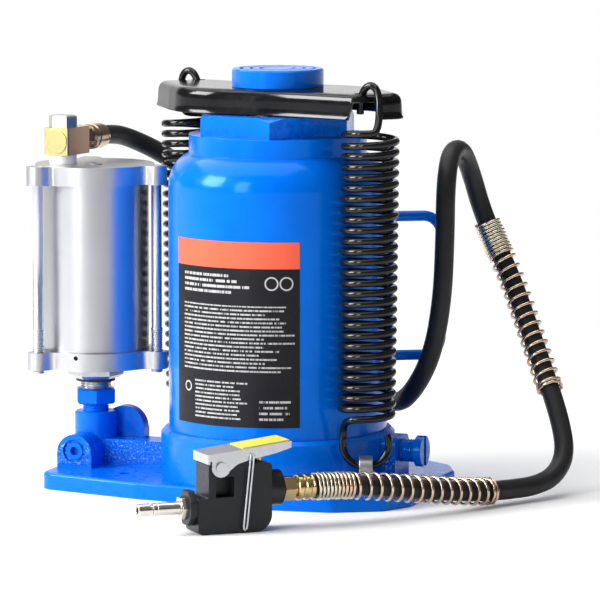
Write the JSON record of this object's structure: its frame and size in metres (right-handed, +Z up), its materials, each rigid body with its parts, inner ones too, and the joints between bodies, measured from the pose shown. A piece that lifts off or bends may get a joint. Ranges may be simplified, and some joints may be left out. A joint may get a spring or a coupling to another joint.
{
  "type": "bottle jack",
  "caption": "Air over hydraulic bottle jack with an extension screw, two return springs, a side air motor and an air hose with a trigger valve.",
  "frame": {"origin": "on the ram's axis, at the bottom of the base", "axes": "+Z up along the ram, +X from the air motor to the release valve, -Y towards the label"},
  "size_m": [0.3382, 0.3044, 0.26],
  "materials": {
    "painted_blue": "azure blue gloss paint",
    "painted_black": "black gloss paint",
    "bare_steel": "machined steel",
    "plated_steel": "bright zinc plate",
    "satin_aluminium": "satin anodised aluminium",
    "brass_fitting": "machined brass",
    "yellow_zinc": "yellow zinc wire",
    "hose_rubber": "satin black rubber",
    "seal_rubber": "black nitrile rubber",
    "black_plastic": "moulded black plastic",
    "grey_plastic": "grey plastic",
    "label_dark": "charcoal printed film",
    "label_orange": "orange printed film",
    "yellow_plastic": "yellow vinyl strip",
    "white_washer": "white nylon"
  },
  "bodies": {
    "root": {"air_nipple": "plated_steel", "banjo_block": "brass_fitting", "banjo_bolt": "plated_steel", "banjo_washer": "white_washer", "barrel_seal": "seal_rubber", "base_casting": "painted_blue", "button_spring": "plated_steel", "cap_plug": "grey_plastic", "carry_handle": "painted_blue", "check_balls": "bare_steel", "check_spring": "bare_steel", "filler_plug": "seal_rubber", "gland_nut": "painted_blue", "gland_seals": "seal_rubber", "hose": "hose_rubber", "hose_ferrule": "brass_fitting", "hose_guard_lower": "yellow_zinc", "hose_guard_upper": "plated_steel", "hose_nut": "brass_fitting", "inlet_collar": "black_plastic", "label_band": "label_orange", "label_field": "label_dark", "lever_pin": "plated_steel", "lock_nut": "painted_blue", "motor_adapter": "plated_steel", "motor_bottom_cap": "satin_aluminium", "motor_return_spring": "bare_steel", "motor_seal_ring": "seal_rubber", "motor_top_cap": "satin_aluminium", "motor_tube": "satin_aluminium", "outlet_ferrule": "brass_fitting", "outlet_fitting": "brass_fitting", "plunger_seal": "seal_rubber", "pump_barrel": "plated_steel", "ram_cylinder": "bare_steel", "release_ball": "bare_steel", "reservoir_barrel": "painted_blue", "return_spring_front": "painted_black", "return_spring_rear": "painted_black", "socket_plug": "painted_blue", "spring_lugs": "plated_steel", "tie_bolts": "plated_steel", "tube_seals": "seal_rubber", "valve_body": "black_plastic"},
    "ram": {"ram_rod": "bare_steel", "piston_head": "bare_steel", "piston_cup": "seal_rubber", "spring_hanger": "painted_black"},
    "screw_stop": {"screw_stop_ring": "bare_steel"},
    "screw": {"extension_screw": "bare_steel", "saddle": "painted_blue"},
    "air_piston": {"air_piston": "satin_aluminium", "piston_ring": "seal_rubber", "pump_plunger": "bare_steel"},
    "release_valve": {"release_valve": "painted_blue"},
    "trigger_lever": {"trigger_lever": "plated_steel", "grip_strip": "yellow_plastic"},
    "valve_button": {"valve_button": "brass_fitting"},
    "lock_bail": {"lock_bail": "plated_steel"}
  },
  "joints": [
    {"name": "ram_slide", "type": "slide", "parent": "root", "child": "ram", "axis": [0, 0, 1], "range_m": [0, 0.15], "stiffness_N_per_m": 600, "springref_m": -0.05, "deforming": ["return_spring_front", "return_spring_rear"]},
    {"name": "screw_lift", "type": "slide", "parent": "ram", "child": "screw_stop", "axis": [0, 0, 1], "range_m": [0, 0.08]},
    {"name": "saddle_turn", "type": "hinge", "parent": "screw_stop", "child": "screw", "pos_m": [0, 0, 0.25], "axis": [0, 0, 1], "range_deg": [0, 7190]},
    {"name": "piston_stroke", "type": "slide", "parent": "root", "child": "air_piston", "axis": [0, 0, -1], "range_m": [0, 0.018], "stiffness_N_per_m": 600, "springref_m": -0.02, "deforming": ["motor_return_spring"]},
    {"name": "release_turn", "type": "hinge", "parent": "root", "child": "release_valve", "pos_m": [0.0805, 0, 0.029], "axis": [1, 0, 0], "range_deg": [0, 540]},
    {"name": "trigger", "type": "hinge", "parent": "root", "child": "trigger_lever", "pos_m": [0.01902, -0.15929, 0.0394], "axis": [-0.6691, 0.7431, 0], "range_deg": [0, 7], "stiffness_Nm_per_rad": 1.5, "springref_deg": -11.46},
    {"name": "button_slide", "type": "slide", "parent": "root", "child": "valve_button", "axis": [0, 0, -1], "range_m": [0, 0.003], "deforming": ["button_spring"]},
    {"name": "bail_swing", "type": "hinge", "parent": "root", "child": "lock_bail", "pos_m": [0.02958, -0.14979, 0.0023], "axis": [-0.6691, 0.7431, 0], "range_deg": [0, 40]}
  ],
  "couplings": [
    {"joint": "screw_lift", "follows": "saddle_turn", "m_per_rad": 0.00063662},
    {"joint": "button_slide", "follows": "trigger", "m_per_rad": 0.0245}
  ]
}
